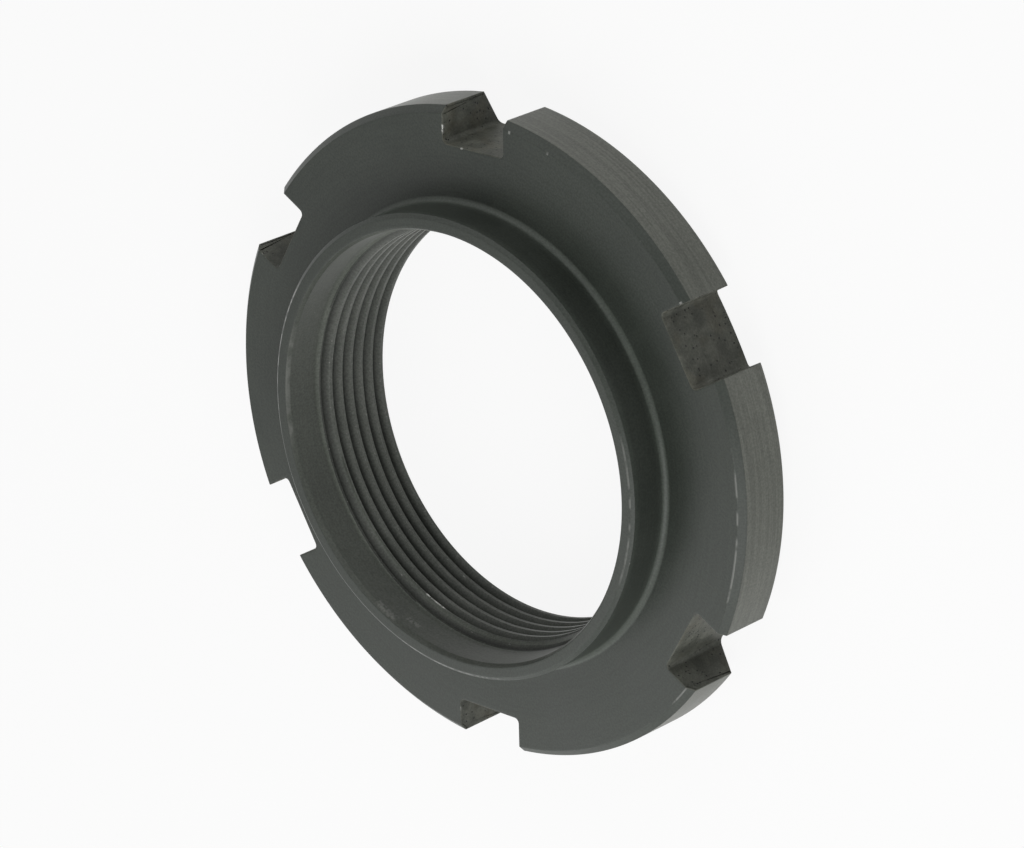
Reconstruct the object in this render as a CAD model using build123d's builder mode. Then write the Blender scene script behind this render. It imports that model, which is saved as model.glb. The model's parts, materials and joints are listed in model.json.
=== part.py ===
from build123d import *

import os
from math import radians, tan

# Castle nut, in millimetres: a round steel nut with a fine thread, six spanner slots milled
# through its rim and a raised collar turned on its front face.
#
# The nut lies on its bearing face. The origin is the centre of that face, and +Z runs along
# the thread axis and out of the collar.

# Thread
thread_diameter = 45.0
thread_pitch = 1.5
thread_depth_per_pitch = 0.5413  # basic depth of an internal 60 degree thread, per pitch
lead_in_angle = 30.0  # slope of the lead-in cone, from the axis

# Flange
rim_diameter = 68.0
flange_thickness = 8.6
bearing_face_diameter = 59.6
bevel_angle = 30.0  # slope of the bevel behind the rim, from the bearing face
rim_chamfer = 0.7

# Spanner slots
slot_count = 6
slot_width = 8.0
slot_depth = 4.0
slot_corner_radius = 0.5

# Collar
collar_wall = 1.7  # between the counterbore and the outside
collar_height = 4.8
collar_root_radius = 0.65
collar_chamfer_width = 0.4
collar_chamfer_height = 0.3

# Counterbore inside the collar, a little wider than the thread it leads to
counterbore_clearance = 0.05
counterbore_depth = 4.0
counterbore_root_radius = 1.5
mouth_chamfer_width = 0.25
mouth_chamfer_height = 0.5

# Radii and levels that follow
rim_radius = rim_diameter / 2
bearing_face_radius = bearing_face_diameter / 2
crest_radius = thread_diameter / 2 - thread_depth_per_pitch * thread_pitch
counterbore_radius = thread_diameter / 2 + counterbore_clearance
collar_radius = counterbore_radius + collar_wall
top_level = flange_thickness + collar_height
counterbore_floor_level = top_level - counterbore_depth
bevel_height = (rim_radius - bearing_face_radius) * tan(radians(bevel_angle))
lead_in_height = (counterbore_radius - crest_radius) / tan(radians(lead_in_angle))
thread_top_level = counterbore_floor_level - lead_in_height


def ring_edge(part, radius, level):
    """The closed circular edge of this radius at this level."""
    circles = part.edges().filter_by(GeomType.CIRCLE)
    return circles.sort_by(lambda edge: abs(edge.radius - radius) + abs(edge.center().Z - level))[0]


with BuildPart() as castle_nut:
    # Turned blank: half of the section, spun about the thread axis
    with BuildSketch(Plane.XZ):
        with BuildLine():
            Polyline(
                (crest_radius, 0),
                (bearing_face_radius, 0),
                (rim_radius, bevel_height),
                (rim_radius, flange_thickness),
                (collar_radius, flange_thickness),
                (collar_radius, top_level),
                (counterbore_radius, top_level),
                (counterbore_radius, counterbore_floor_level),
                (crest_radius, thread_top_level),
                close=True,
            )
        make_face()
    revolve(axis=Axis.Z)

    # Broken edges: the first length is taken down the wall, the second across the end face
    chamfer(ring_edge(castle_nut, rim_radius, flange_thickness), length=rim_chamfer)

    collar_edge = ring_edge(castle_nut, collar_radius, top_level)
    collar_face = castle_nut.faces().filter_by(GeomType.CYLINDER).sort_by(SortBy.RADIUS)[-2]
    chamfer(
        collar_edge,
        length=collar_chamfer_height,
        length2=collar_chamfer_width,
        reference=collar_face,
    )

    mouth_edge = ring_edge(castle_nut, counterbore_radius, top_level)
    counterbore_face = castle_nut.faces().filter_by(GeomType.CYLINDER).sort_by(SortBy.RADIUS)[-3]
    chamfer(
        mouth_edge,
        length=mouth_chamfer_height,
        length2=mouth_chamfer_width,
        reference=counterbore_face,
    )

    # Tool-nose radii: the collar's root outside, and the run from the counterbore to the lead-in
    fillet(ring_edge(castle_nut, collar_radius, flange_thickness), collar_root_radius)
    fillet(
        ring_edge(castle_nut, counterbore_radius, counterbore_floor_level),
        counterbore_root_radius,
    )

    # Spanner slots: flat floors and parallel walls, milled through the flange from the side.
    # The cutter runs out past the rim by as much as the slot is deep.
    with BuildSketch(Plane.XY):
        with PolarLocations(rim_radius, slot_count):
            Rectangle(2 * slot_depth, slot_width)
        inner_corners = [
            vertex
            for vertex in vertices()
            if vertex.distance_to(Vertex(0, 0, 0)) < rim_radius
        ]
        fillet(inner_corners, slot_corner_radius)
    extrude(amount=flange_thickness, mode=Mode.SUBTRACT)

castle_nut.part.label = "castle_nut"

os.makedirs("parts", exist_ok=True)
export_step(castle_nut.part, "parts/castle_nut.step")
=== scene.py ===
"""Castle nut: a round steel nut with six spanner slots, a turned collar and a fine thread.

The nut lies flat on its bearing face. Its turned section is spun ring by ring, the slots are
cut out of the rim with broken edges, and the thread is a true right-hand helix that runs out
through the lead-in and through the back. Lengths are in metres, in the frame of the part.
"""

import json
import logging
import math
from dataclasses import dataclass, field
from enum import Enum

import bmesh
import bpy
import numpy as np
from mathutils import Matrix, Vector

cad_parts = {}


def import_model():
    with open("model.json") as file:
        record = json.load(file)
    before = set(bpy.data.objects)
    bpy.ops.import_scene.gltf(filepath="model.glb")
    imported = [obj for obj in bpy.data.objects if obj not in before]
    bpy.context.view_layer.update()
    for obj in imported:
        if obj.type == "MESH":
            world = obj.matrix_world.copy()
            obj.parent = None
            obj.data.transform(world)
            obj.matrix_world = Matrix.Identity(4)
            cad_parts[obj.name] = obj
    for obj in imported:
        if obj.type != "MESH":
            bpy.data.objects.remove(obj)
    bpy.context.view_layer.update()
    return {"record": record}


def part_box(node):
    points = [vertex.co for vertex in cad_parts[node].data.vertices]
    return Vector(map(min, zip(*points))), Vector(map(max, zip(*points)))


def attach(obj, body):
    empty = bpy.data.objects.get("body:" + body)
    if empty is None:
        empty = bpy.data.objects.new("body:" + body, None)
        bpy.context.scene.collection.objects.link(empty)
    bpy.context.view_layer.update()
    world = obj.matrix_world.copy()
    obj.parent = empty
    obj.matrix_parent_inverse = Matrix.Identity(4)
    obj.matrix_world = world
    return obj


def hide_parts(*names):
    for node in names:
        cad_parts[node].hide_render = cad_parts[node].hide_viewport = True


MM = 0.001
NODE = "castle_nut"
EDGE = "edge"

log = logging.getLogger(NODE)


class Zone(Enum):
    """The finishes of the nut, in the order of its material slots."""

    FACE = 0
    RIM = 1
    SLOT = 2
    BORE = 3
    THREAD = 4


class Blend(Enum):
    """How a new colour is laid over the one below it."""

    MIX = "MIX"
    MULTIPLY = "MULTIPLY"
    ADD = "ADD"


# ---------------------------------------------------------------------------------------------
# Turned section
# ---------------------------------------------------------------------------------------------


@dataclass(frozen=True)
class Ring:
    """One ring of the turned section.

    Args:
        radius: distance from the thread axis.
        level: height above the bearing face.
        edge: 1 on a broken edge, 0 away from it.
        zone: finish of the strip from this ring to the next.
    """

    radius: float
    level: float
    edge: float
    zone: Zone


def round_corner(
    corner: tuple[float, float],
    before: tuple[float, float],
    after: tuple[float, float],
    radius: float,
    steps: int,
) -> list[tuple[float, float]]:
    """Points of the arc that rounds a corner of the section.

    Args:
        corner: the sharp corner, as radius and level.
        before: the corner before it.
        after: the corner after it.
        radius: radius of the arc.
        steps: how many spans the arc has.

    Returns:
        The arc's points, tangent point to tangent point.
    """
    tip = np.array(corner)
    back = np.array(before) - tip
    ahead = np.array(after) - tip
    back /= np.linalg.norm(back)
    ahead /= np.linalg.norm(ahead)
    half = math.acos(np.clip(back @ ahead, -1.0, 1.0)) / 2
    middle = (back + ahead) / np.linalg.norm(back + ahead)
    centre = tip + middle * radius / math.sin(half)
    reach = radius / math.tan(half)
    first = tip + back * reach - centre
    last = tip + ahead * reach - centre
    sweep = math.pi - 2 * half
    points = []
    for step in range(steps + 1):
        share = step / steps
        weights = math.sin((1 - share) * sweep), math.sin(share * sweep)
        points.append(tuple(centre + (first * weights[0] + last * weights[1]) / math.sin(sweep)))
    return points


@dataclass
class Section:
    """A run of the turned section, with each corner rounded.

    Args:
        start: first point, as radius and level.
        margin: width beside a broken edge over which its wear fades.
    """

    start: tuple[float, float]
    margin: float = 0.2 * MM
    corners: list = field(default_factory=list)

    def to(
        self,
        radius: float,
        level: float,
        zone: Zone,
        break_radius: float = 0.0,
        worn: bool = True,
        spans: int = 1,
    ) -> "Section":
        """Adds a straight stretch.

        Args:
            radius: radius at its end.
            level: level at its end.
            zone: finish of the stretch.
            break_radius: radius that rounds the corner at its end, 0 to leave the point as it is.
            worn: whether that corner is an edge that wears.
            spans: how many spans the stretch is cut into.

        Returns:
            The section itself.
        """
        self.corners.append(((radius, level), zone, break_radius, worn, spans))
        return self

    def rings(self) -> list[Ring]:
        """The rings of the whole run, from its start to its end."""
        points = [self.start] + [corner[0] for corner in self.corners]
        rings = [Ring(*self.start, 0.0, self.corners[0][1])]
        for number, (point, zone, break_radius, worn, spans) in enumerate(self.corners):
            last = number == len(self.corners) - 1
            after_zone = zone if last else self.corners[number + 1][1]
            arc = [point]
            if break_radius and not last:
                steps = 3 if worn else 8
                arc = round_corner(point, points[number], points[number + 2], break_radius, steps)
            edge = 1.0 if worn and break_radius else 0.0
            rings += self._straight(rings[-1], arc[0], zone, edge, spans)
            for place, (radius, level) in enumerate(arc):
                ends = place in (0, len(arc) - 1)
                wear = edge * (0.6 if ends else 1.0)
                rings.append(Ring(radius, level, wear, after_zone if place else zone))
        return rings

    def _straight(
        self, origin: Ring, end: tuple[float, float], zone: Zone, edge: float, spans: int
    ) -> list[Ring]:
        """Rings between two corners, with one close to each worn edge.

        Args:
            origin: the last ring before the stretch.
            end: where the stretch ends.
            zone: finish of the stretch.
            edge: wear at the end of the stretch.
            spans: how many spans the stretch is cut into.

        Returns:
            The rings between the two ends, without the ends.
        """
        run = math.dist((origin.radius, origin.level), end)
        shares = set(step / spans for step in range(1, spans))
        fade = min(self.margin / run, 0.4)
        if origin.edge:
            shares.add(fade)
        if edge:
            shares.add(1 - fade)
        return [
            Ring(
                origin.radius + (end[0] - origin.radius) * share,
                origin.level + (end[1] - origin.level) * share,
                0.0,
                zone,
            )
            for share in sorted(shares)
        ]


# ---------------------------------------------------------------------------------------------
# Thread
# ---------------------------------------------------------------------------------------------


def below(rows: np.ndarray) -> np.ndarray:
    """The row under each row, where the first row stays its own neighbour."""
    return np.concatenate([rows[:1], rows[:-1]])


def above(rows: np.ndarray) -> np.ndarray:
    """The row over each row, where the last row stays its own neighbour."""
    return np.concatenate([rows[1:], rows[-1:]])


@dataclass
class Thread:
    """The right-hand metric thread, as rings that climb with the helix.

    Args:
        crest_radius: radius of the bore that the crests keep.
        pitch: rise of one turn.
        crest_level: level of a crest's middle at the angle crest_angle.
        crest_angle: angle from +X at which that crest is measured.
        rows_per_turn: rings for each pitch, which meet every corner of the form.
    """

    crest_radius: float
    pitch: float = 1.5 * MM
    crest_level: float = 3.458 * MM
    crest_angle: float = math.radians(61.9)
    rows_per_turn: int = 16

    @property
    def depth(self) -> float:
        """Depth of the groove: five eighths of the height of a sharp 60 degree thread."""
        return self.pitch * math.sqrt(3) / 2 * 5 / 8

    def radius(self, level: np.ndarray, angle: np.ndarray) -> np.ndarray:
        """Radius of the thread's surface.

        Args:
            level: heights above the bearing face.
            angle: angles from +X.

        Returns:
            The radii, from crest to root.
        """
        rise = self.pitch * (angle - self.crest_angle) / math.tau
        turn = np.mod((level - self.crest_level - rise) / self.pitch, 1.0)
        from_crest = np.minimum(turn, 1 - turn)
        flank = np.clip((from_crest - 1 / 8) / (5 / 16), 0.0, 1.0)
        return self.crest_radius + self.depth * flank

    def rows(self, angle: np.ndarray, top: float) -> tuple[np.ndarray, np.ndarray]:
        """Levels of the climbing rings, held between the bearing face and a top level.

        Args:
            angle: angle of each column, from 0 to a whole turn.
            top: the highest level.

        Returns:
            The levels, one row for each ring, and how near each row is to a crest's corner.
        """
        step = self.pitch / self.rows_per_turn
        start = self.crest_level - self.pitch * self.crest_angle / math.tau
        lowest = math.floor((-start - self.pitch) / step) - 1
        highest = math.ceil((top - start) / step) + 1
        numbers = np.arange(lowest, highest + 1)
        levels = start + step * numbers[:, None] + self.pitch * angle[None, :] / math.tau
        place = np.mod(numbers, self.rows_per_turn)
        corner = np.minimum(place, self.rows_per_turn - place) == self.rows_per_turn // 8
        flat = np.minimum(place, self.rows_per_turn - place) < self.rows_per_turn // 8
        return np.clip(levels, 0.0, top), np.where(corner, 1.0, np.where(flat, 0.55, 0.0))


# ---------------------------------------------------------------------------------------------
# The nut
# ---------------------------------------------------------------------------------------------


@dataclass
class CastleNut:
    """The whole nut, as one closed mesh.

    Args:
        rim_radius: outside radius of the flange.
        height: from the bearing face to the end of the collar.
        crest_radius: radius of the bore that the thread's crests keep.
        counterbore_radius: radius of the bore inside the collar.
    """

    rim_radius: float
    height: float
    crest_radius: float
    counterbore_radius: float
    flange_thickness: float = 8.6 * MM
    bearing_face_radius: float = 29.8 * MM
    bevel_slope: float = math.tan(math.radians(30.0))
    rim_chamfer: float = 0.7 * MM
    collar_wall: float = 1.7 * MM
    collar_root_radius: float = 0.65 * MM
    collar_chamfer_width: float = 0.4 * MM
    collar_chamfer_height: float = 0.3 * MM
    counterbore_depth: float = 4.0 * MM
    counterbore_root_radius: float = 1.5 * MM
    lead_in_slope: float = math.tan(math.radians(30.0))
    mouth_chamfer_width: float = 0.25 * MM
    mouth_chamfer_height: float = 0.5 * MM
    slot_count: int = 6
    slot_width: float = 8.0 * MM
    slot_depth: float = 4.0 * MM
    slot_corner_radius: float = 0.5 * MM
    edge_break: float = 0.08 * MM
    edge_margin: float = 0.2 * MM
    back_margin: float = 0.04 * MM
    clear_ring: float = 29.6 * MM
    back_ring: float = 29.84 * MM
    floor_spans: int = 6
    corner_spans: int = 4
    land_spans: int = 24
    vertices: list = field(default_factory=list)
    wear: list = field(default_factory=list)
    faces: list = field(default_factory=list)
    zones: list = field(default_factory=list)

    @property
    def slot_floor(self) -> float:
        """Distance of a slot's floor from the thread axis."""
        return self.rim_radius - self.slot_depth

    @property
    def half_sector(self) -> float:
        """Angle from the middle of a slot to the middle of the land beside it."""
        return math.pi / self.slot_count

    # -- Section levels ------------------------------------------------------------------------

    def back_level(self, radius: np.ndarray) -> np.ndarray:
        """Level of the back of the flange, bearing face or bevel, at these radii."""
        return np.maximum(0.0, (radius - self.bearing_face_radius) * self.bevel_slope)

    def bore_rings(self) -> list[Ring]:
        """Rings from the foot of the lead-in cone up to the counterbore's wall."""
        floor = self.height - self.counterbore_depth
        drop = (self.counterbore_radius - self.crest_radius) / self.lead_in_slope
        section = Section((self.crest_radius, floor - drop), self.edge_margin)
        section.to(
            self.counterbore_radius,
            floor,
            Zone.BORE,
            break_radius=self.counterbore_root_radius,
            worn=False,
        )
        section.to(self.counterbore_radius, floor + self.counterbore_root_radius, Zone.BORE)
        return section.rings()

    def collar_rings(self, start: float) -> list[Ring]:
        """Rings from the counterbore's wall over the collar to the clear part of the front.

        Args:
            start: level on the counterbore's wall at which they begin.

        Returns:
            The rings.
        """
        bore = self.counterbore_radius
        outside = bore + self.collar_wall
        front = self.flange_thickness
        section = Section((bore, start), self.edge_margin)
        section.to(bore, self.height - self.mouth_chamfer_height, Zone.BORE, self.edge_break, spans=4)
        section.to(bore + self.mouth_chamfer_width, self.height, Zone.BORE, self.edge_break)
        section.to(outside - self.collar_chamfer_width, self.height, Zone.FACE, self.edge_break, spans=2)
        section.to(outside, self.height - self.collar_chamfer_height, Zone.FACE, self.edge_break)
        section.to(outside, front, Zone.FACE, self.collar_root_radius, worn=False, spans=4)
        section.to(self.clear_ring, front, Zone.FACE, spans=4)
        return section.rings()

    def bearing_rings(self) -> list[Ring]:
        """Rings from the foot of the bevel inwards over the bearing face, short of the bore."""
        section = Section((self.back_ring, float(self.back_level(self.back_ring))), self.edge_margin)
        section.to(self.bearing_face_radius, 0.0, Zone.FACE, self.edge_break)
        section.to(self.crest_radius + self.pitch_clearance, 0.0, Zone.FACE, spans=6)
        return section.rings()

    @property
    def pitch_clearance(self) -> float:
        """Width kept on the bearing face round the bore, for the thread to run out in."""
        return 1.2 * MM

    def land_rings(self) -> list[Ring]:
        """Rings of the lands between the slots, over the rim from the front to the back."""
        front = self.flange_thickness
        rim = self.rim_radius
        start = self._corner_end(self.edge_break)[0]
        foot = (start, float(self.back_level(start)))
        section = Section((start, front), self.edge_margin)
        section.to(rim - self.rim_chamfer, front, Zone.FACE, self.edge_break, spans=3)
        section.to(rim, front - self.rim_chamfer, Zone.FACE, self.edge_break, spans=2)
        section.to(rim, float(self.back_level(rim)), Zone.RIM, self.edge_break, spans=6)
        section.to(*foot, Zone.FACE, spans=4)
        return section.rings()

    # -- Slot outline --------------------------------------------------------------------------

    def _corner_end(self, offset: float) -> tuple[float, float, float]:
        """Radius, x and y of the point where the slot's rounded corner meets its wall."""
        across = self.slot_floor + self.slot_corner_radius
        up = self.slot_width / 2 + offset
        return math.hypot(across, up), across, up

    def slot_path(self, offset: np.ndarray) -> np.ndarray:
        """Plan of half a slot's floor and its corner, set back into the steel.

        Args:
            offset: how far each point is set back.

        Returns:
            The points, from the middle of the floor to the start of the wall.
        """
        corner = self.slot_corner_radius
        centre = np.array([self.slot_floor + corner, self.slot_width / 2 - corner])
        along = np.linspace(0.0, centre[1], self.floor_spans + 1)[:-1]
        floor = np.stack([np.full_like(along, self.slot_floor), along], axis=1)
        turn = np.linspace(math.pi, math.pi / 2, self.corner_spans + 1)
        outward = np.stack([np.cos(turn), np.sin(turn)], axis=1)
        points = np.concatenate([floor, centre + outward * corner])
        normals = np.concatenate([np.tile([-1.0, 0.0], (len(floor), 1)), outward])
        return points + normals * np.broadcast_to(offset, len(points))[:, None]

    def column_angles(self) -> np.ndarray:
        """Angles of the mesh's columns over a whole turn, both ends included."""
        floor = self.slot_path(np.array(self.edge_break + self.edge_margin))
        start = np.arctan2(floor[:, 1], floor[:, 0])
        land = np.linspace(start[-1], self.half_sector, self.land_spans + 1)[1:]
        half = np.concatenate([start, land])
        sector = np.concatenate([-half[:0:-1], half])
        whole = [sector[:-1] + 2 * self.half_sector * number for number in range(self.slot_count)]
        angles = np.concatenate(whole)
        angles = np.append(angles, angles[0] + math.tau)
        return angles

    # -- Mesh assembly -------------------------------------------------------------------------

    def add_grid(
        self, points: np.ndarray, wear: np.ndarray, zone: np.ndarray, flip: bool = False
    ) -> None:
        """Adds a grid of quads.

        Args:
            points: rows by columns by three.
            wear: edge wear of each point, rows by columns.
            zone: finish of each row of quads, or of each quad.
            flip: whether the quads face the other way.
        """
        rows, columns = points.shape[:2]
        first = len(self.vertices)
        self.vertices.extend(points.reshape(-1, 3))
        self.wear.extend(np.broadcast_to(wear, (rows, columns)).reshape(-1))
        zone = np.broadcast_to(zone if zone.ndim == 2 else zone[:, None], (rows - 1, columns - 1))
        for row in range(rows - 1):
            for column in range(columns - 1):
                near = first + row * columns + column
                quad = (near, near + 1, near + columns + 1, near + columns)
                self.faces.append(quad[::-1] if flip else quad)
                self.zones.append(int(zone[row, column]))

    def spin(self, rings: list[Ring], angles: np.ndarray) -> None:
        """Adds whole rings round the thread axis.

        Args:
            rings: the rings, in order.
            angles: angle of each column.
        """
        radius = np.array([ring.radius for ring in rings])[:, None]
        level = np.array([ring.level for ring in rings])[:, None]
        wear = np.array([ring.edge for ring in rings])[:, None]
        zone = np.array([ring.zone.value for ring in rings[:-1]])
        points = np.stack(
            [
                radius * np.cos(angles),
                radius * np.sin(angles),
                np.broadcast_to(level, (len(rings), len(angles))),
            ],
            axis=2,
        )
        self.add_grid(points, wear, zone)

    def add_thread(self, thread: Thread, angles: np.ndarray) -> None:
        """Adds the thread, cut by the back, the lead-in cone and the counterbore's root.

        Args:
            thread: the thread's form.
            angles: angle of each column.
        """
        bore = self.bore_rings()
        heights = [0.0] + [ring.level for ring in bore]
        radii = [self.crest_radius] + [ring.radius for ring in bore]
        level, crest = thread.rows(angles, bore[-1].level)
        depth = thread.radius(level, angles) - np.interp(level, heights, radii)
        cleared = depth < -1e-9
        crest = np.where(cleared, 0.0, crest[:, None])
        for slide in (below, above):
            beside = slide(depth)
            slides = cleared & (beside > 1e-9)
            share = np.where(slides, depth / np.where(slides, depth - beside, 1.0), 0.0)
            level = level + share * (slide(level) - level)
            crest = np.where(slides, 1.0, crest)
            cleared &= ~slides
        radius = np.maximum(thread.radius(level, angles), np.interp(level, heights, radii))
        points = np.stack([radius * np.cos(angles), radius * np.sin(angles), level], axis=2)
        plain = cleared[:-1, :-1] & cleared[1:, :-1] & cleared[:-1, 1:] & cleared[1:, 1:]
        zone = np.where(plain, Zone.BORE.value, Zone.THREAD.value)
        self.add_grid(points, crest, zone)
        edge = np.stack([points[0], points[0]])
        rim_radius = self.crest_radius + self.pitch_clearance
        edge[0] = np.stack(
            [rim_radius * np.cos(angles), rim_radius * np.sin(angles), np.zeros_like(angles)], axis=1
        )
        wear = np.array([[0.0], [0.5]])
        self.add_grid(edge, wear, np.array([Zone.FACE.value]))

    def add_lands(self, angles: np.ndarray) -> None:
        """Adds the six slots and the lands between them.

        Args:
            angles: angle of each column over a whole turn.
        """
        middle = len(self.slot_path(np.array(0.0))) - 1 + self.land_spans
        half = angles[middle : 2 * middle + 1]
        marks = len(self.vertices), len(self.faces)
        self._half_sector(half)
        vertices = np.array(self.vertices[marks[0] :])
        wear = self.wear[marks[0] :]
        faces = [np.array(face) - marks[0] for face in self.faces[marks[1] :]]
        zones = self.zones[marks[1] :]
        del self.vertices[marks[0] :], self.wear[marks[0] :]
        del self.faces[marks[1] :], self.zones[marks[1] :]
        for number in range(self.slot_count):
            turn = Matrix.Rotation(2 * self.half_sector * number, 3, "Z")
            for side in (1, -1):
                first = len(self.vertices)
                turned = (vertices * [1, side, 1]) @ np.array(turn).T
                self.vertices.extend(turned)
                self.wear.extend(wear)
                self.faces.extend(tuple(face[::side] + first) for face in faces)
                self.zones.extend(zones)

    def _half_sector(self, angles: np.ndarray) -> None:
        """Adds half a slot and half a land, on the +Y side of a slot on +X.

        Args:
            angles: angles of the whole rings' columns, from 0 to the middle of the land.
        """
        rings = self.land_rings()
        steps = [math.radians(angle) for angle in (0, 30, 60, 90)]
        offsets = [self.edge_break * (1 - math.sin(step)) for step in steps]
        insets = [self.edge_break * (1 - math.cos(step)) for step in steps]
        insets.append(self.edge_break + self.edge_margin)
        offsets.append(0.0)
        wears = np.array([0.0, 0.6, 1.0, 1.0, 0.6, 0.0])
        columns = [self._edge_line(rings, self.edge_break, 0.0, True)]
        columns += [self._edge_line(rings, *pair, False) for pair in zip(offsets, insets)]
        strip = np.stack(columns, axis=1)
        corner = len(self.slot_path(np.array(0.0)))
        skin = [Zone.FACE.value] * corner
        skin += [ring.zone.value for ring in rings[1:-2]]
        skin += [Zone.FACE.value] * (len(strip) - 1 - len(skin))
        zone = np.full((len(strip) - 1, len(wears) - 1), Zone.SLOT.value)
        zone[:, 0] = skin
        self.add_grid(strip, np.broadcast_to(wears, strip.shape[:2]), zone)

        front, back = strip[:corner, 0], strip[-corner:, 0][::-1]
        walls = strip[corner - 1 : len(strip) - corner + 1]
        self._add_apron(angles[:corner], front, self.clear_ring, flip=True)
        self._add_apron(angles[:corner], back, self.back_ring, flip=False)
        self._add_land(rings, walls[:, 0], angles[corner - 1 :])
        self._add_cut(strip[:, -1], corner)

    def _edge_line(
        self, rings: list[Ring], offset: float, inset: float, margin: bool
    ) -> np.ndarray:
        """One line along the slot's edge: floor and corner, up the wall's rim, and back again.

        Args:
            rings: rings of the land, from the front to the back.
            offset: distance from the slot's wall, into the steel.
            inset: distance under the skin of the nut.
            margin: whether the line is set back by the margin beside the edge.

        Returns:
            The line's points.
        """
        front_offset = offset + (self.edge_margin if margin else 0.0)
        back_offset = offset + (self.back_margin if margin else 0.0)
        front = self.slot_path(np.array(front_offset))
        back = self.slot_path(np.array(back_offset))
        front_level = np.full(len(front), self.flange_thickness - inset)
        back_level = self.back_level(np.hypot(back[:, 0], back[:, 1])) + inset
        radius = np.array([ring.radius for ring in rings])
        level = np.array([ring.level for ring in rings])
        along = np.stack([np.gradient(radius), np.gradient(level)])
        along /= np.linalg.norm(along, axis=0)
        radius = radius + along[1] * inset
        level = level - along[0] * inset
        up = self.slot_width / 2 + front_offset
        across = np.sqrt(radius**2 - up**2)
        wall = np.stack([across, np.full_like(across, up), level], axis=1)[1:-1]
        return np.concatenate(
            [
                np.column_stack([front, front_level]),
                wall,
                np.column_stack([back, back_level])[::-1],
            ]
        )

    def _add_apron(
        self, angles: np.ndarray, line: np.ndarray, radius: float, flip: bool
    ) -> None:
        """Adds the strip between a whole ring and the slot's floor edge.

        Args:
            angles: angles of the whole ring's columns.
            line: the floor edge's points.
            radius: radius of the whole ring.
            flip: whether the strip is on the front.
        """
        level = self.flange_thickness if flip else float(self.back_level(radius))
        ring = np.column_stack(
            [radius * np.cos(angles), radius * np.sin(angles), np.full_like(angles, level)]
        )
        rows = np.stack([ring, line])
        self.add_grid(rows, np.zeros((2, 1)), np.array([Zone.FACE.value]), flip=not flip)

    def _add_land(self, rings: list[Ring], wall: np.ndarray, angles: np.ndarray) -> None:
        """Adds half a land, from the slot's wall to its own middle.

        Args:
            rings: rings of the land, from the front to the back.
            wall: points beside the slot's wall, one for each ring.
            angles: angles of the whole rings' columns from the wall to the middle.
        """
        share = (angles - angles[0]) / (angles[-1] - angles[0])
        start = np.arctan2(wall[:, 1], wall[:, 0])[:, None]
        angle = start + (angles[-1] - start) * share
        radius = np.repeat(np.hypot(wall[:, 0], wall[:, 1])[:, None], len(share), axis=1)
        level = np.repeat(wall[:, 2][:, None], len(share), axis=1)
        land = np.stack([radius * np.cos(angle), radius * np.sin(angle), level], axis=2)
        rows = [land]
        wear = [[ring.edge] for ring in rings]
        for radius_here, place in ((self.clear_ring, 0), (self.back_ring, len(rings))):
            front = place == 0
            height = self.flange_thickness if front else float(self.back_level(radius_here))
            ring = np.column_stack(
                [
                    radius_here * np.cos(angles),
                    radius_here * np.sin(angles),
                    np.full_like(angles, height),
                ]
            )[None]
            rows = [ring] + rows if front else rows + [ring]
            wear = [[0.0]] + wear if front else wear + [[0.0]]
        zone = [Zone.FACE.value] + [ring.zone.value for ring in rings]
        wear_grid = np.broadcast_to(np.array(wear), (len(wear), len(share))).copy()
        wear_grid[:, 0] = 0.0
        self.add_grid(np.concatenate(rows), wear_grid, np.array(zone))

    def _add_cut(self, line: np.ndarray, corner: int) -> None:
        """Adds the slot's floor, its rounded corner and its wall.

        Args:
            line: the innermost line along the slot's edge.
            corner: how many of its points belong to the floor and corner on one side.
        """
        front = line[:corner]
        back = line[-corner:][::-1]
        rows = np.stack([front + (back - front) * share for share in (0.0, 1.0)])
        self.add_grid(rows, np.zeros((2, 1)), np.array([Zone.SLOT.value]), flip=False)
        wall = line[corner - 1 : len(line) - corner + 1]
        first = len(self.vertices)
        self.vertices.extend(wall)
        self.wear.extend([0.0] * len(wall))
        self.faces.append(tuple(range(first, first + len(wall))))
        self.zones.append(Zone.SLOT.value)

    def build(self, thread: Thread) -> bpy.types.Object:
        """Builds the nut's mesh.

        Args:
            thread: the thread inside it.

        Returns:
            The new object, linked to the scene.
        """
        angles = self.column_angles()
        self.spin(self.bearing_rings(), angles)
        self.add_thread(thread, angles)
        self.spin(self.collar_rings(self.bore_rings()[-1].level), angles)
        self.add_lands(angles)
        mesh = bpy.data.meshes.new("turned_nut")
        mesh.from_pydata([tuple(point) for point in self.vertices], [], self.faces)
        mesh.polygons.foreach_set("material_index", self.zones)
        wear = mesh.attributes.new(EDGE, "FLOAT", "POINT")
        wear.data.foreach_set("value", np.array(self.wear, dtype=np.float32))
        form = bmesh.new()
        form.from_mesh(mesh)
        bmesh.ops.remove_doubles(form, verts=form.verts, dist=0.0005 * MM)
        bmesh.ops.dissolve_degenerate(form, edges=form.edges, dist=0.0005 * MM)
        bmesh.ops.recalc_face_normals(form, faces=form.faces)
        for face in form.faces:
            face.smooth = True
        sharp = math.radians(38.0)
        for edge in form.edges:
            edge.smooth = not edge.is_manifold or edge.calc_face_angle(0.0) < sharp
        open_edges = sum(1 for edge in form.edges if not edge.is_manifold)
        volume = form.calc_volume()
        form.to_mesh(mesh)
        form.free()
        log.info(
            "turned_nut: %d faces, %d open edges, %.0f mm3",
            len(mesh.polygons),
            open_edges,
            volume / MM**3,
        )
        nut = bpy.data.objects.new("turned_nut", mesh)
        bpy.context.scene.collection.objects.link(nut)
        weighted = nut.modifiers.new("flat faces stay flat", "WEIGHTED_NORMAL")
        weighted.keep_sharp = True
        return nut


# ---------------------------------------------------------------------------------------------
# Finishes
# ---------------------------------------------------------------------------------------------


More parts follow.
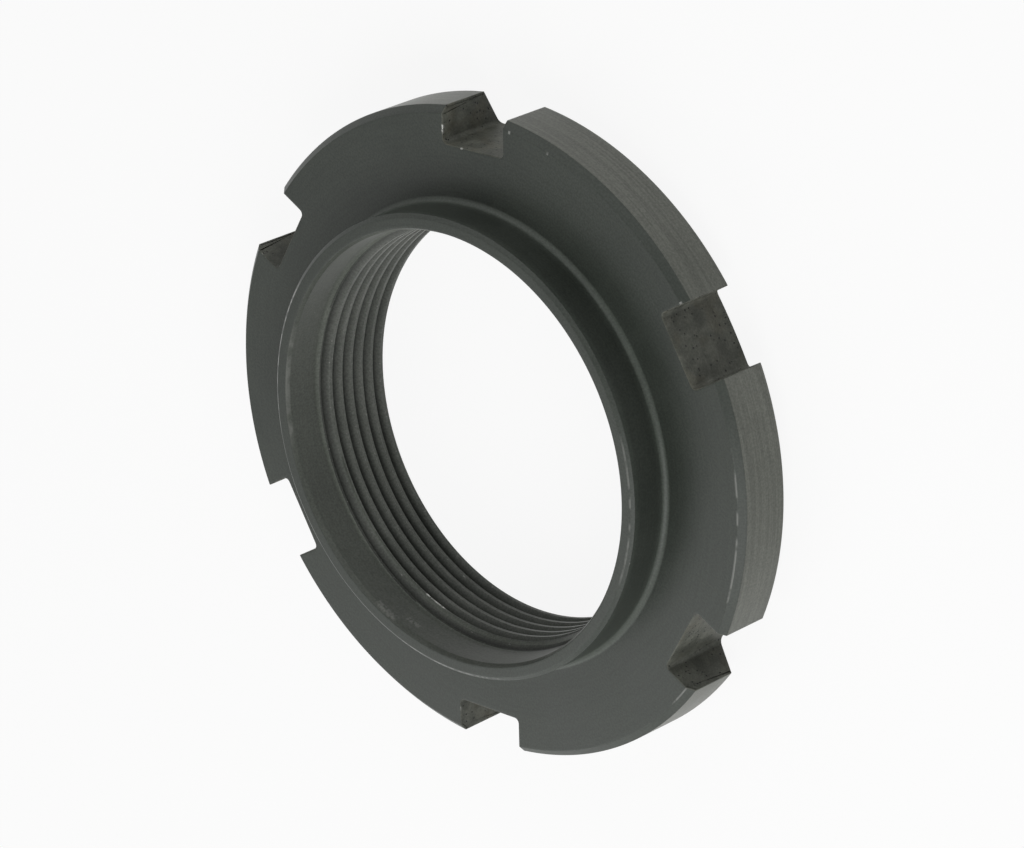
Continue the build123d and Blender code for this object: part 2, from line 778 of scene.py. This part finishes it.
def place(tree: bpy.types.NodeTree, kind: str, inputs: dict, **settings) -> bpy.types.Node:
    """Places a node in a tree.

    Args:
        tree: the tree.
        kind: the node's type name, without the leading ShaderNode.
        inputs: values or sockets, by the name or number of the node's input.
        settings: the node's own properties.

    Returns:
        The new node.
    """
    node = tree.nodes.new("ShaderNode" + kind)
    for name, value in settings.items():
        setattr(node, name, value)
    for key, value in inputs.items():
        if isinstance(value, bpy.types.NodeSocket):
            tree.links.new(value, node.inputs[key])
        else:
            node.inputs[key].default_value = value
    return node


def calculate(
    tree: bpy.types.NodeTree, operation: str, *values: float | bpy.types.NodeSocket, clamp: bool = False
) -> bpy.types.NodeSocket:
    """Places a Math node and returns its result."""
    inputs = dict(enumerate(values))
    return place(tree, "Math", inputs, operation=operation, use_clamp=clamp).outputs[0]


def spread(
    tree: bpy.types.NodeTree, value: bpy.types.NodeSocket, low: float, high: float
) -> bpy.types.NodeSocket:
    """Stretches a value smoothly, so that low becomes 0 and high becomes 1."""
    inputs = {"Value": value, "From Min": low, "From Max": high}
    node = place(tree, "MapRange", inputs, interpolation_type="SMOOTHSTEP")
    return node.outputs["Result"]


def tint(
    tree: bpy.types.NodeTree,
    share: float | bpy.types.NodeSocket,
    under: tuple | bpy.types.NodeSocket,
    over: tuple | bpy.types.NodeSocket,
    blend: Blend = Blend.MIX,
) -> bpy.types.NodeSocket:
    """Lays one colour over another.

    Args:
        tree: the tree.
        share: how much of the upper colour shows.
        under: the lower colour.
        over: the upper colour.
        blend: how it is laid.

    Returns:
        The mixed colour.
    """
    node = place(tree, "Mix", {}, data_type="RGBA", blend_type=blend.value)
    for key, value in ((0, share), (6, under), (7, over)):
        if isinstance(value, bpy.types.NodeSocket):
            tree.links.new(value, node.inputs[key])
        else:
            node.inputs[key].default_value = value
    return node.outputs[2]


@dataclass
class Effect:
    """A node group that several finishes share.

    Args:
        name: name of the group.
        inputs: names of its inputs, with whether each is a vector.
        outputs: names of its outputs.
    """

    name: str
    inputs: dict[str, bool]
    outputs: list[str]

    def __post_init__(self) -> None:
        """Makes the group's tree and its sockets."""
        self.tree = bpy.data.node_groups.new(self.name, "ShaderNodeTree")
        for name, vector in self.inputs.items():
            kind = "NodeSocketVector" if vector else "NodeSocketFloat"
            self.tree.interface.new_socket(name, in_out="INPUT", socket_type=kind)
        for name in self.outputs:
            self.tree.interface.new_socket(name, in_out="OUTPUT", socket_type="NodeSocketFloat")
        self.given = self.tree.nodes.new("NodeGroupInput").outputs
        self.result = self.tree.nodes.new("NodeGroupOutput").inputs

    def put_out(self, **results: bpy.types.NodeSocket) -> None:
        """Links the group's results to its outputs."""
        for name, socket in results.items():
            self.tree.links.new(socket, self.result[name])

    def use(self, tree: bpy.types.NodeTree, **values) -> bpy.types.NodeSocket:
        """Places the group in a material and returns its first output.

        Args:
            tree: the material's tree.
            values: values or sockets for its inputs.

        Returns:
            The group's output.
        """
        node = place(tree, "Group", {}, node_tree=self.tree)
        for name, value in values.items():
            if isinstance(value, bpy.types.NodeSocket):
                tree.links.new(value, node.inputs[name])
            else:
                node.inputs[name].default_value = value
        return node.outputs[0]


def round_the_axis(tree: bpy.types.NodeTree) -> tuple:
    """Reads where a point lies round the thread axis.

    Args:
        tree: the tree.

    Returns:
        The point itself, its radius, its level, and its direction from the axis.
    """
    point = place(tree, "TexCoord", {}).outputs["Object"]
    flat = place(tree, "VectorMath", {0: point, 1: (1.0, 1.0, 0.0)}, operation="MULTIPLY").outputs[0]
    radius = place(tree, "VectorMath", {0: flat}, operation="LENGTH").outputs["Value"]
    level = place(tree, "SeparateXYZ", {0: point}).outputs["Z"]
    direction = place(tree, "VectorMath", {0: flat}, operation="NORMALIZE").outputs[0]
    return point, radius, level, direction


class Effects:
    """The node groups that the finishes share, each built once."""

    def __init__(self) -> None:
        """Builds every group."""
        self.turning_marks = self._turning_marks()
        self.oxide_clouds = self._oxide_clouds()
        self.edge_wear = self._edge_wear()
        self.specks = self._specks()
        self.scrape = self._scrape()
        self.painted_band = self._band()
        self.groove_shade_depth = self._groove_shade_depth()

    def _turning_marks(self) -> Effect:
        """Fine lines round the axis: Spacing between them, and Run, how often they change."""
        effect = Effect("turning_marks", {"Spacing": False, "Run": False}, ["Lines"])
        tree = effect.tree
        _, radius, level, direction = round_the_axis(tree)
        slope = calculate(tree, "MULTIPLY", level, -1.3)
        across = calculate(tree, "ADD", radius, slope)
        across = calculate(tree, "DIVIDE", across, effect.given["Spacing"])
        turned = place(
            tree, "VectorMath", {0: direction, "Scale": effect.given["Run"]}, operation="SCALE"
        ).outputs[0]
        parts = place(tree, "SeparateXYZ", {0: turned}).outputs
        where = place(tree, "CombineXYZ", {0: parts[0], 1: parts[1], 2: across}).outputs[0]
        noise = place(tree, "TexNoise", {"Vector": where, "Scale": 1.0, "Detail": 2.0})
        effect.put_out(Lines=spread(tree, noise.outputs["Fac"], 0.3, 0.7))
        return effect

    def _oxide_clouds(self) -> Effect:
        """Uneven blacking: Size of its clouds."""
        effect = Effect("oxide_clouds", {"Size": False, "Detail": False}, ["Clouds"])
        tree = effect.tree
        point = round_the_axis(tree)[0]
        scale = calculate(tree, "DIVIDE", 1.0, effect.given["Size"])
        noise = place(
            tree, "TexNoise", {"Vector": point, "Scale": scale, "Detail": effect.given["Detail"]}
        )
        effect.put_out(Clouds=spread(tree, noise.outputs["Fac"], 0.3, 0.7))
        return effect

    def _edge_wear(self) -> Effect:
        """Bare steel on broken edges: Amount of it, in patches of a Size."""
        effect = Effect("edge_wear", {"Amount": False, "Size": False}, ["Worn"])
        tree = effect.tree
        edge = place(tree, "Attribute", {}, attribute_name=EDGE).outputs["Fac"]
        point = round_the_axis(tree)[0]
        scale = calculate(tree, "DIVIDE", 1.0, effect.given["Size"])
        noise = place(tree, "TexNoise", {"Vector": point, "Scale": scale, "Detail": 4.0})
        limit = calculate(tree, "SUBTRACT", 1.0, effect.given["Amount"])
        over = calculate(tree, "SUBTRACT", noise.outputs["Fac"], limit)
        patches = calculate(tree, "MULTIPLY", over, 8.0, clamp=True)
        effect.put_out(Worn=calculate(tree, "MULTIPLY", patches, edge))
        return effect

    def _specks(self) -> Effect:
        """Scattered spots: one Cell in so many holds a spot of a Reach, given by Share."""
        inputs = {"Cell": False, "Reach": False, "Share": False}
        effect = Effect("specks", inputs, ["Spots"])
        tree = effect.tree
        point = round_the_axis(tree)[0]
        scale = calculate(tree, "DIVIDE", 1.0, effect.given["Cell"])
        cells = place(tree, "TexVoronoi", {"Vector": point, "Scale": scale})
        reach = calculate(tree, "DIVIDE", effect.given["Reach"], effect.given["Cell"])
        near = calculate(tree, "DIVIDE", cells.outputs["Distance"], reach)
        spot = calculate(tree, "SUBTRACT", 1.0, near, clamp=True)
        chance = place(tree, "SeparateXYZ", {0: cells.outputs["Color"]}).outputs["X"]
        chosen = calculate(tree, "LESS_THAN", chance, effect.given["Share"])
        effect.put_out(Spots=calculate(tree, "MULTIPLY", spread(tree, spot, 0.0, 0.5), chosen))
        return effect

    def _scrape(self) -> Effect:
        """One scrape: its Direction from the axis, its Reach round it (as a cosine), and a ring."""
        inputs = {"Direction": True, "Around": False, "Radius": False, "Level": False, "Width": False}
        inputs["Dash"] = False
        effect = Effect("scrape", inputs, ["Mark"])
        tree, given = effect.tree, effect.given
        point, radius, level, direction = round_the_axis(tree)
        turn = place(
            tree, "VectorMath", {0: direction, 1: given["Direction"]}, operation="DOT_PRODUCT"
        ).outputs["Value"]
        over = calculate(tree, "SUBTRACT", turn, given["Around"])
        whole = calculate(tree, "SUBTRACT", 1.0, given["Around"])
        along = calculate(tree, "MULTIPLY", calculate(tree, "DIVIDE", over, whole), 3.0, clamp=True)
        out = calculate(tree, "SUBTRACT", radius, given["Radius"])
        up = calculate(tree, "SUBTRACT", level, given["Level"])
        square = calculate(tree, "ADD", calculate(tree, "POWER", out, 2.0), calculate(tree, "POWER", up, 2.0))
        away = calculate(tree, "DIVIDE", calculate(tree, "SQRT", square), given["Width"])
        across = calculate(tree, "MULTIPLY", calculate(tree, "SUBTRACT", 1.0, away), 2.0, clamp=True)
        scale = calculate(tree, "DIVIDE", 1.0, given["Dash"])
        noise = place(tree, "TexNoise", {"Vector": point, "Scale": scale, "Detail": 3.0}).outputs["Fac"]
        dashes = spread(tree, noise, 0.4, 0.56)
        mark = calculate(tree, "MULTIPLY", calculate(tree, "MULTIPLY", along, across), dashes)
        effect.put_out(Mark=mark)
        return effect

    def _band(self) -> Effect:
        """A soft ring round the axis, the mask of painted light and shade: its Radius, its Level and its half
        Width.
        """
        effect = Effect("painted_band", {"Radius": False, "Level": False, "Width": False}, ["Mark"])
        tree, given = effect.tree, effect.given
        _, radius, level, _ = round_the_axis(tree)
        out = calculate(tree, "SUBTRACT", radius, given["Radius"])
        up = calculate(tree, "SUBTRACT", level, given["Level"])
        where = place(tree, "CombineXYZ", {0: out, 1: up}).outputs[0]
        away = place(tree, "VectorMath", {0: where}, operation="LENGTH").outputs["Value"]
        away = calculate(tree, "DIVIDE", away, given["Width"])
        near = calculate(tree, "SUBTRACT", 1.0, away, clamp=True)
        effect.put_out(Mark=spread(tree, near, 0.0, 0.4))
        return effect

    def _groove_shade_depth(self) -> Effect:
        """How deep a point lies in the thread, between the radii of its Crest and its Root: the mask of the
        painted shade in the thread's roots.
        """
        effect = Effect("groove_shade_depth", {"Crest": False, "Root": False}, ["Depth"])
        tree, given = effect.tree, effect.given
        radius = round_the_axis(tree)[1]
        inputs = {"Value": radius, "From Min": given["Crest"], "From Max": given["Root"]}
        effect.put_out(Depth=place(tree, "MapRange", inputs).outputs["Result"])
        return effect


@dataclass(frozen=True)
class PaintedLightBand:
    """A ring round the axis where the colour is painted lighter or darker, as painted light and shade.

    Args:
        radius: its distance from the axis.
        level: its height.
        width: half its width.
        shade: what the colour is multiplied by in its middle.
    """

    radius: float
    level: float
    width: float
    shade: float


@dataclass(frozen=True)
class Scrape:
    """A place where the blacking is scraped off.

    Args:
        angle: its middle, in degrees from +X.
        around: half its length round the axis, in degrees.
        radius: its distance from the axis.
        level: its height.
        width: half its width.
        dash: size of the gaps that break it up.
        depth: how bare it is in the middle, from 0 to 1.
    """

    angle: float
    around: float
    radius: float
    level: float
    width: float
    dash: float
    depth: float


@dataclass(frozen=True)
class Finish:
    """The finish of one zone of the nut.

    Args:
        zone: where it goes.
        tone: colour of the blacked steel.
        pale: colour where the blacking is thin.
        roughness: how rough it is.
        sheen: how strongly it reflects, as the shader's specular level.
        cloud_size: size of the uneven patches.
        line_spacing: distance between tool marks.
        line_run: how often the tool marks change round the axis.
        line_depth: depth of the tool marks.
        line_tint: how much the tool marks show in the colour.
        grain: height of the fine grain.
        worn: how much of the broken edges is bare, from 0 to 1.
        pits: share of the cells that hold a pit.
        pit_reach: radius of a pit.
        nicks: share of the cells that hold a bright speck.
        rust: how much rust shows.
        groove: what the colour is multiplied by at the bottom of the thread, as painted shade in the thread's
            roots.
        painted_light_bands: rings of painted light and shade, where the colour is multiplied lighter or
            darker.
        scrapes: places scraped bare.
    """

    zone: Zone
    tone: tuple[float, float, float, float]
    pale: tuple[float, float, float, float]
    roughness: float
    sheen: float = 0.2
    cloud_size: float = 9.0 * MM
    line_spacing: float = 0.3 * MM
    line_run: float = 6.0
    line_depth: float = 0.002 * MM
    line_tint: float = 0.1
    grain: float = 0.004 * MM
    worn: float = 0.4
    pits: float = 0.0
    pit_reach: float = 0.12 * MM
    nicks: float = 0.01
    rust: float = 0.0
    groove: float = 1.0
    painted_light_bands: tuple[PaintedLightBand, ...] = ()
    scrapes: tuple[Scrape, ...] = ()

    BARE = (0.46, 0.46, 0.44, 1.0)
    PIT = (0.012, 0.012, 0.012, 1.0)
    RUST = (0.1, 0.082, 0.05, 1.0)

    def material(self, effects: Effects) -> bpy.types.Material:
        """Makes the material.

        Args:
            effects: the shared node groups.

        Returns:
            The material.
        """
        material = bpy.data.materials.new(self.zone.name.lower() + "_finish")
        material.use_nodes = True
        tree = material.node_tree
        shader = tree.nodes["Principled BSDF"]
        clouds = effects.oxide_clouds.use(tree, Size=self.cloud_size, Detail=5.0)
        grain = effects.oxide_clouds.use(tree, Size=0.22 * MM, Detail=2.0)
        lines = effects.turning_marks.use(tree, Spacing=self.line_spacing, Run=self.line_run)
        pits = effects.specks.use(tree, Cell=0.45 * MM, Reach=self.pit_reach, Share=self.pits)
        nicks = effects.specks.use(tree, Cell=1.6 * MM, Reach=0.07 * MM, Share=self.nicks)
        nicks = calculate(tree, "MULTIPLY", nicks, 0.35)
        bare = effects.edge_wear.use(tree, Amount=self.worn, Size=0.35 * MM)
        bare = calculate(tree, "MULTIPLY", bare, 0.35)
        bare = calculate(tree, "MAXIMUM", bare, nicks)
        for scrape in self.scrapes:
            angle = math.radians(scrape.angle)
            mark = effects.scrape.use(
                tree,
                Direction=(math.cos(angle), math.sin(angle), 0.0),
                Around=math.cos(math.radians(scrape.around)),
                Radius=scrape.radius,
                Level=scrape.level,
                Width=scrape.width,
                Dash=scrape.dash,
            )
            mark = calculate(tree, "MULTIPLY", mark, scrape.depth)
            bare = calculate(tree, "MAXIMUM", bare, mark)
        colour = tint(tree, clouds, self.tone, self.pale)
        shade = calculate(tree, "MULTIPLY_ADD", lines, self.line_tint, 1.0 - self.line_tint / 2)
        speckle = calculate(tree, "MULTIPLY_ADD", grain, 0.3, 0.85)
        shade = calculate(tree, "MULTIPLY", shade, speckle)
        # Painted shade: the colour darkens from the crests down to the roots of the thread.
        if self.groove < 1.0:
            depth = effects.groove_shade_depth.use(tree, Crest=21.7 * MM, Root=22.35 * MM)
            change = calculate(tree, "MULTIPLY_ADD", depth, self.groove - 1.0, 1.0)
            shade = calculate(tree, "MULTIPLY", shade, change)
        # Painted light and shade: each band multiplies the colour lighter or darker in a ring round the axis.
        for painted_band in self.painted_light_bands:
            ring = effects.painted_band.use(tree, Radius=painted_band.radius, Level=painted_band.level, Width=painted_band.width)
            change = calculate(tree, "MULTIPLY_ADD", ring, painted_band.shade - 1.0, 1.0)
            shade = calculate(tree, "MULTIPLY", shade, change)
        shade = place(tree, "CombineColor", {0: shade, 1: shade, 2: shade}).outputs[0]
        colour = tint(tree, 1.0, colour, shade, Blend.MULTIPLY)
        if self.rust:
            stain = effects.oxide_clouds.use(tree, Size=2.6 * MM, Detail=4.0)
            stain = calculate(tree, "MULTIPLY", spread(tree, stain, 0.45, 0.95), self.rust)
            colour = tint(tree, stain, colour, self.RUST)
        if self.pits:
            colour = tint(tree, pits, colour, self.PIT)
        colour = tint(tree, bare, colour, self.BARE)
        rough = calculate(tree, "MULTIPLY_ADD", clouds, 0.08, self.roughness - 0.04)
        rough = calculate(tree, "MULTIPLY_ADD", bare, -0.1, rough)
        height = calculate(tree, "MULTIPLY", lines, self.line_depth)
        height = calculate(tree, "MULTIPLY_ADD", grain, self.grain, height)
        if self.pits:
            height = calculate(tree, "MULTIPLY_ADD", pits, -8 * self.grain, height)
        bump = place(tree, "Bump", {"Height": height, "Distance": 1.0})
        shader.inputs["Specular IOR Level"].default_value = self.sheen
        tree.links.new(colour, shader.inputs["Base Color"])
        tree.links.new(rough, shader.inputs["Roughness"])
        tree.links.new(bare, shader.inputs["Metallic"])
        tree.links.new(bump.outputs["Normal"], shader.inputs["Normal"])
        log.info("%s: %d nodes", material.name, len(tree.nodes))
        return material


def finishes() -> list[Finish]:
    """The nut's finishes, in the order of its material slots."""
    collar_end = [
        Scrape(18, 22, 24.05 * MM, 13.3 * MM, 0.16 * MM, 1.0 * MM, 0.6),
        Scrape(118, 18, 24.05 * MM, 13.3 * MM, 0.14 * MM, 0.8 * MM, 0.35),
        Scrape(208, 20, 23.85 * MM, 13.4 * MM, 0.14 * MM, 1.5 * MM, 0.16),
    ]
    front_edge = [
        Scrape(206, 16, 33.3 * MM, 8.6 * MM, 0.14 * MM, 2.0 * MM, 0.2),
        Scrape(173, 5, 33.3 * MM, 8.6 * MM, 0.12 * MM, 1.0 * MM, 0.25),
        Scrape(247.2, 0.25, 33.3 * MM, 8.6 * MM, 0.2 * MM, 2.0 * MM, 0.5),
        Scrape(291.5, 0.25, 33.2 * MM, 8.6 * MM, 0.2 * MM, 2.0 * MM, 0.4),
        Scrape(282.8, 0.25, 33.2 * MM, 8.6 * MM, 0.2 * MM, 2.0 * MM, 0.35),
    ]
    slot_edges = [
        Scrape(307.3, 0.3, 31.4 * MM, 8.6 * MM, 0.3 * MM, 3.0 * MM, 0.9),
        Scrape(307.1, 0.3, 31.9 * MM, 8.6 * MM, 0.3 * MM, 3.0 * MM, 1.0),
        Scrape(302.9, 0.3, 30.0 * MM, 8.6 * MM, 0.16 * MM, 2.0 * MM, 0.6),
        Scrape(112.7, 0.3, 31.5 * MM, 8.6 * MM, 0.4 * MM, 1.0 * MM, 0.4),
    ]
    mouth = [
        Scrape(28, 20, 22.75 * MM, 13.1 * MM, 0.34 * MM, 3.0 * MM, 0.13),
        Scrape(94, 4.0, 22.6 * MM, 12.9 * MM, 0.5 * MM, 0.3 * MM, 0.16),
        Scrape(101, 2.5, 22.55 * MM, 11.7 * MM, 0.4 * MM, 0.3 * MM, 0.14),
    ]
    starts = [
        Scrape(99.3, 4.0, 21.72 * MM, 7.95 * MM, 0.14 * MM, 1.0 * MM, 0.6),
        Scrape(21, 5.0, 21.7 * MM, 7.5 * MM, 0.14 * MM, 0.6 * MM, 0.5),
    ]
    # Painted shade on the collar's outer wall, darker where it stands in the corner by the front face, and a
    # painted highlight on the fillet at its root.
    collar_painted_shade_and_highlight = (
        PaintedLightBand(24.25 * MM, 11.0 * MM, 1.9 * MM, 0.75),
        PaintedLightBand(24.5 * MM, 8.85 * MM, 0.45 * MM, 1.5),
    )
    return [
        Finish(
            Zone.FACE,
            tone=(0.033, 0.039, 0.0325, 1),
            pale=(0.042, 0.0485, 0.041, 1),
            roughness=0.42,
            sheen=0.24,
            worn=0.3,
            nicks=0.03,
            painted_light_bands=collar_painted_shade_and_highlight,
            scrapes=tuple(collar_end + front_edge + slot_edges),
        ),
        Finish(
            Zone.RIM,
            tone=(0.098, 0.103, 0.088, 1),
            pale=(0.118, 0.123, 0.107, 1),
            roughness=0.4,
            sheen=0.23,
            line_spacing=0.35 * MM,
            line_run=2.5,
            line_depth=0.004 * MM,
            line_tint=0.25,
            worn=0.3,
        ),
        # The slot's tone is partly its own finish and partly painted light: it is lifted above the face's to
        # stand in for bounce light in the slots.
        Finish(
            Zone.SLOT,
            tone=(0.05, 0.053, 0.043, 1),
            pale=(0.1, 0.104, 0.087, 1),
            cloud_size=1.6 * MM,
            roughness=0.55,
            sheen=0.22,
            grain=0.012 * MM,
            worn=0.35,
            pits=0.35,
            rust=0.16,
            scrapes=tuple(slot_edges),
        ),
        # The bore's tone is partly its own finish and partly painted light: it is lifted above the face's to
        # stand in for bounce light inside the bore.
        Finish(
            Zone.BORE,
            tone=(0.064, 0.07, 0.06, 1),
            pale=(0.08, 0.087, 0.075, 1),
            roughness=0.42,
            sheen=0.19,
            worn=0.3,
            # A painted highlight: the lead-in cone is painted lighter.
            painted_light_bands=(PaintedLightBand(22.1 * MM, 8.7 * MM, 0.9 * MM, 1.45),),
            scrapes=tuple(mouth + starts),
        ),
        # The thread's tone is partly its own finish and partly painted light: it is lifted above the face's
        # to stand in for bounce light inside the bore.
        Finish(
            Zone.THREAD,
            tone=(0.105, 0.112, 0.1, 1),
            pale=(0.135, 0.142, 0.128, 1),
            roughness=0.42,
            sheen=0.12,
            worn=0.38,
            # Painted shade: the thread's roots are painted darker than its crests.
            groove=0.4,
            scrapes=tuple(starts),
        ),
    ]


# ---------------------------------------------------------------------------------------------
# Studio
# ---------------------------------------------------------------------------------------------


@dataclass
class Studio:
    """Pale floor, soft lamps and the camera.

    Args:
        centre: what the camera looks at.
    """

    centre: Vector
    azimuth: float = math.radians(-30.06)
    elevation: float = math.radians(43.07)
    distance: float = 0.4956
    roll: float = math.radians(113.02)
    lens: float = 173.07
    floor_reach: float = 4.0
    floor_colour: tuple[float, float, float, float] = (0.85, 0.85, 0.85, 1.0)
    floor_whiteness: float = 0.9
    fill: float = 0.02

    def build(self) -> None:
        """Adds the camera, the floor, the lamps and the world."""
        self.camera()
        self.floor()
        self.light()

    def camera(self) -> None:
        """Adds the camera and makes it the scene's own."""
        data = bpy.data.cameras.new("camera")
        data.lens = self.lens
        data.sensor_width = 36.0
        data.clip_start = 0.01
        camera = bpy.data.objects.new("camera", data)
        flat = math.cos(self.elevation)
        toward = Vector(
            (
                math.sin(self.azimuth) * flat,
                -math.cos(self.azimuth) * flat,
                math.sin(self.elevation),
            )
        )
        camera.location = self.centre + toward * self.distance
        level = (-toward).to_track_quat("-Z", "Y")
        camera.rotation_euler = (level @ Matrix.Rotation(-self.roll, 3, "Z").to_quaternion()).to_euler()
        bpy.context.scene.collection.objects.link(camera)
        bpy.context.scene.camera = camera

    def floor(self) -> None:
        """Adds the pale floor, which keeps a faint shadow in front of the camera."""
        form = bmesh.new()
        bmesh.ops.create_grid(form, x_segments=1, y_segments=1, size=self.floor_reach)
        mesh = bpy.data.meshes.new("floor")
        form.to_mesh(mesh)
        form.free()
        floor = bpy.data.objects.new("floor", mesh)
        bpy.context.scene.collection.objects.link(floor)
        material = bpy.data.materials.new("pale_floor")
        material.use_nodes = True
        tree = material.node_tree
        tree.nodes.remove(tree.nodes["Principled BSDF"])
        matt = place(tree, "BsdfDiffuse", {"Color": self.floor_colour})
        white = place(tree, "Emission", {"Color": (1, 1, 1, 1), "Strength": 1.0})
        seen = calculate(tree, "MULTIPLY", self.seen_rays(tree), self.floor_whiteness)
        mixed = place(tree, "MixShader", {0: seen, 1: matt.outputs[0], 2: white.outputs[0]})
        tree.links.new(mixed.outputs[0], tree.nodes["Material Output"].inputs["Surface"])
        mesh.materials.append(material)

    def seen_rays(self, tree: bpy.types.NodeTree) -> bpy.types.NodeSocket:
        """1 for the rays by which the background is seen, directly or in metal or glass."""
        path = place(tree, "LightPath", {}).outputs
        seen = calculate(tree, "MAXIMUM", path["Is Camera Ray"], path["Is Glossy Ray"])
        return calculate(tree, "MAXIMUM", seen, path["Is Transmission Ray"])

    def light(self) -> None:
        """Adds the lamps, and a world that is dim as a light and white to look at."""
        for lamp in LAMPS:
            lamp.build(self.centre)
        world = bpy.data.worlds.new("studio")
        world.use_nodes = True
        tree = world.node_tree
        strength = place(
            tree, "MapRange", {"Value": self.seen_rays(tree), "To Min": self.fill, "To Max": 1.0}
        ).outputs["Result"]
        tree.nodes["Background"].inputs["Color"].default_value = (1, 1, 1, 1)
        tree.links.new(strength, tree.nodes["Background"].inputs["Strength"])
        bpy.context.scene.world = world


@dataclass(frozen=True)
class Lamp:
    """A round soft lamp aimed at the nut.

    Args:
        name: what it does.
        azimuth: its direction from +X, in degrees.
        elevation: its height over the floor, in degrees.
        power: in watts.
        distance: from the nut.
        size: its diameter.
    """

    name: str
    azimuth: float
    elevation: float
    power: float
    distance: float = 0.35
    size: float = 0.3

    def build(self, centre: Vector) -> None:
        """Adds the lamp, aimed at a point."""
        data = bpy.data.lights.new(self.name, "AREA")
        data.shape = "DISK"
        data.size = self.size
        data.energy = self.power
        lamp = bpy.data.objects.new(self.name, data)
        bpy.context.scene.collection.objects.link(lamp)
        flat = math.cos(math.radians(self.elevation))
        toward = Vector(
            (
                math.cos(math.radians(self.azimuth)) * flat,
                math.sin(math.radians(self.azimuth)) * flat,
                math.sin(math.radians(self.elevation)),
            )
        )
        lamp.location = centre + toward * self.distance
        lamp.rotation_euler = (-toward).to_track_quat("-Z", "Y").to_euler()


LAMPS = (
    Lamp("key", 180, 40, 0.74),
    Lamp("left", 90, 40, 0.43),
    Lamp("far", 315, 40, 0.21),
    Lamp("low_front", 150, 12, 0.28),
    Lamp("low_left", 90, 12, 0.08),
    Lamp("low_back", 270, 12, 0.33),
    Lamp("low_far", 330, 12, 0.12),
)


def main() -> None:
    """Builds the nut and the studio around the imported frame."""
    logging.basicConfig(level=logging.INFO, format="%(name)s: %(message)s")
    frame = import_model()
    mounts = {mount["name"]: mount for mount in frame["record"]["mounts"]}
    low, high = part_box(NODE)
    nut = CastleNut(
        rim_radius=high.y,
        height=high.z,
        crest_radius=mounts["thread"]["dims"]["r_mm"] * MM,
        counterbore_radius=mounts["counterbore"]["dims"]["r_mm"] * MM,
    )
    piece = nut.build(Thread(crest_radius=nut.crest_radius))
    effects = Effects()
    for finish in finishes():
        piece.data.materials.append(finish.material(effects))
    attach(piece, "root")
    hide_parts(NODE)
    Studio(centre=Vector((-0.04, 0.11, 4.0)) * MM).build()
    bpy.context.scene.view_settings.view_transform = "Standard"


if __name__ == "__main__":
    main()
